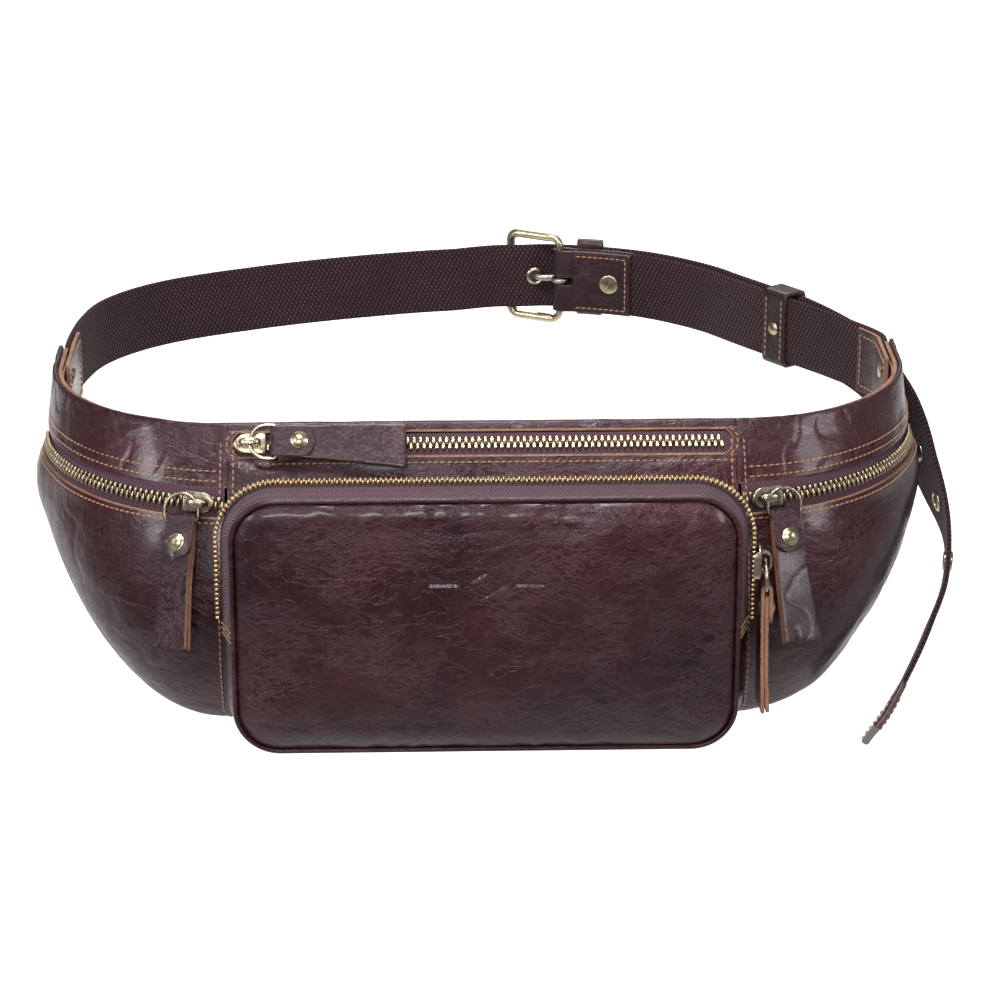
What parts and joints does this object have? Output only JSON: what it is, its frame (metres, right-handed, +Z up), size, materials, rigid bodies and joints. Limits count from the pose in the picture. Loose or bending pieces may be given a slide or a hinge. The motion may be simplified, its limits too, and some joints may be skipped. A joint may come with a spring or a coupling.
{
  "type": "waist pack",
  "caption": "Oiled-leather waist pack with zipped main, wing and raised front pockets, leather zip pulls, and a webbing belt with a prong buckle.",
  "frame": {"origin": "centre of the flat middle of the back panel's wearer-side face", "axes": "+Y out of the back panel towards the wearer, +X along the pack towards the side with the loose strap end, +Z up"},
  "size_m": [0.4483, 0.3719, 0.1763],
  "materials": {
    "oiled_leather": "glossy oil-waxed",
    "webbing": "coarse cotton weave",
    "zip_tape": "twill",
    "antique_brass": "antique",
    "lining": "matt"
  },
  "bodies": {
    "pack_body": {"back_panel": "oiled_leather", "top_band": "oiled_leather", "front_panel": "oiled_leather", "main_zip_tape": "zip_tape", "main_zip_chain": "antique_brass", "left_wing_band": "oiled_leather", "left_wing_panel": "oiled_leather", "left_divider": "lining", "left_zip_tape": "zip_tape", "left_zip_chain": "antique_brass", "left_end_tab": "oiled_leather", "left_end_rivet": "antique_brass", "right_wing_band": "oiled_leather", "right_wing_panel": "oiled_leather", "right_divider": "lining", "right_zip_tape": "zip_tape", "right_zip_chain": "antique_brass", "right_end_tab": "oiled_leather", "right_end_rivet": "antique_brass", "pocket_front": "oiled_leather", "pocket_zip_tape": "zip_tape", "pocket_zip_chain": "antique_brass", "pocket_lower_gusset": "oiled_leather", "pocket_gusset": "oiled_leather", "pocket_piping": "oiled_leather", "belt_strap_long": "webbing", "eyelet_1": "antique_brass", "eyelet_2": "antique_brass", "eyelet_3": "antique_brass", "eyelet_4": "antique_brass", "strap_tip": "oiled_leather", "belt_strap_short": "webbing", "buckle_chape": "oiled_leather", "chape_rivet": "antique_brass", "keeper_fixed": "oiled_leather"},
    "main_slider": {"main_slider": "antique_brass"},
    "main_ring": {"main_pull_ring": "antique_brass"},
    "main_tab": {"main_pull_tab": "oiled_leather", "main_pull_rivet": "antique_brass"},
    "left_slider": {"left_slider": "antique_brass"},
    "left_ring": {"left_pull_ring": "antique_brass"},
    "left_tab": {"left_pull_tab": "oiled_leather", "left_pull_rivet": "antique_brass"},
    "right_slider": {"right_slider": "antique_brass"},
    "right_ring": {"right_pull_ring": "antique_brass"},
    "right_tab": {"right_pull_tab": "oiled_leather", "right_pull_rivet": "antique_brass"},
    "pocket_slider": {"pocket_slider": "antique_brass"},
    "pocket_ring": {"pocket_pull_ring": "antique_brass"},
    "pocket_tab": {"pocket_pull_tab": "oiled_leather", "pocket_pull_rivet": "antique_brass"},
    "buckle_frame": {"buckle_frame": "antique_brass"},
    "buckle_prong": {"buckle_prong": "antique_brass"},
    "keeper": {"keeper_sliding": "oiled_leather", "keeper_rivet": "antique_brass"}
  },
  "joints": [
    {"name": "main_zip_slide", "type": "slide", "parent": "pack_body", "child": "main_slider", "axis": [1, 0, 0], "range_m": [0, 0.21]},
    {"name": "main_ring_swing", "type": "hinge", "parent": "main_slider", "child": "main_ring", "pos_m": [-0.1075, -0.01497, 0.06313], "axis": [0, -0.569, -0.8223], "range_deg": [0, 85]},
    {"name": "main_tab_swing", "type": "hinge", "parent": "main_ring", "child": "main_tab", "pos_m": [-0.0955, -0.01497, 0.06313], "axis": [0, -0.569, -0.8223], "range_deg": [0, 95]},
    {"name": "left_zip_slide", "type": "hinge", "parent": "pack_body", "child": "left_slider", "pos_m": [-0.109, 0.075, 0.037], "axis": [0, 0, -1], "range_deg": [0, 54]},
    {"name": "left_ring_swing", "type": "hinge", "parent": "left_slider", "child": "left_ring", "pos_m": [-0.13188, -0.02819, 0.03846], "axis": [0.0597, 0.2691, 0.9613], "range_deg": [0, 46]},
    {"name": "left_tab_swing", "type": "hinge", "parent": "left_ring", "child": "left_tab", "pos_m": [-0.13912, -0.02884, 0.03077], "axis": [-0.9763, 0.2164, 0], "range_deg": [0, 95]},
    {"name": "right_zip_slide", "type": "hinge", "parent": "pack_body", "child": "right_slider", "pos_m": [0.109, 0.075, 0.037], "axis": [0, 0, 1], "range_deg": [0, 48]},
    {"name": "right_ring_swing", "type": "hinge", "parent": "right_slider", "child": "right_ring", "pos_m": [0.13188, -0.02819, 0.03846], "axis": [0.0597, -0.2691, -0.9613], "range_deg": [0, 20]},
    {"name": "right_tab_swing", "type": "hinge", "parent": "right_ring", "child": "right_tab", "pos_m": [0.13912, -0.02884, 0.03077], "axis": [-0.9763, -0.2164, 0], "range_deg": [0, 95]},
    {"name": "pocket_zip_slide", "type": "slide", "parent": "pack_body", "child": "pocket_slider", "axis": [0, 0, 1], "range_m": [0, 0.012]},
    {"name": "pocket_ring_swing", "type": "hinge", "parent": "pocket_slider", "child": "pocket_ring", "pos_m": [0.1273, -0.06, 0.02], "axis": [0, -1, 0], "range_deg": [0, 6]},
    {"name": "pocket_tab_swing", "type": "hinge", "parent": "pocket_ring", "child": "pocket_tab", "pos_m": [0.1273, -0.06, 0.008], "axis": [0, -1, 0], "range_deg": [0, 8]},
    {"name": "buckle_tilt", "type": "hinge", "parent": "pack_body", "child": "buckle_frame", "pos_m": [0.04777, 0.27338, 0.0505], "axis": [0, 0, -1], "range_deg": [0, 4]},
    {"name": "prong_tilt", "type": "hinge", "parent": "pack_body", "child": "buckle_prong", "pos_m": [0.04777, 0.27338, 0.0505], "axis": [0, 0, -1], "range_deg": [0, 4]},
    {"name": "keeper_slide", "type": "slide", "parent": "pack_body", "child": "keeper", "axis": [0.606, -0.7954, 0], "range_m": [-0.014, 0.004]}
  ],
  "couplings": [
    {"joint": "prong_tilt", "follows": "buckle_tilt", "ratio": 1}
  ]
}
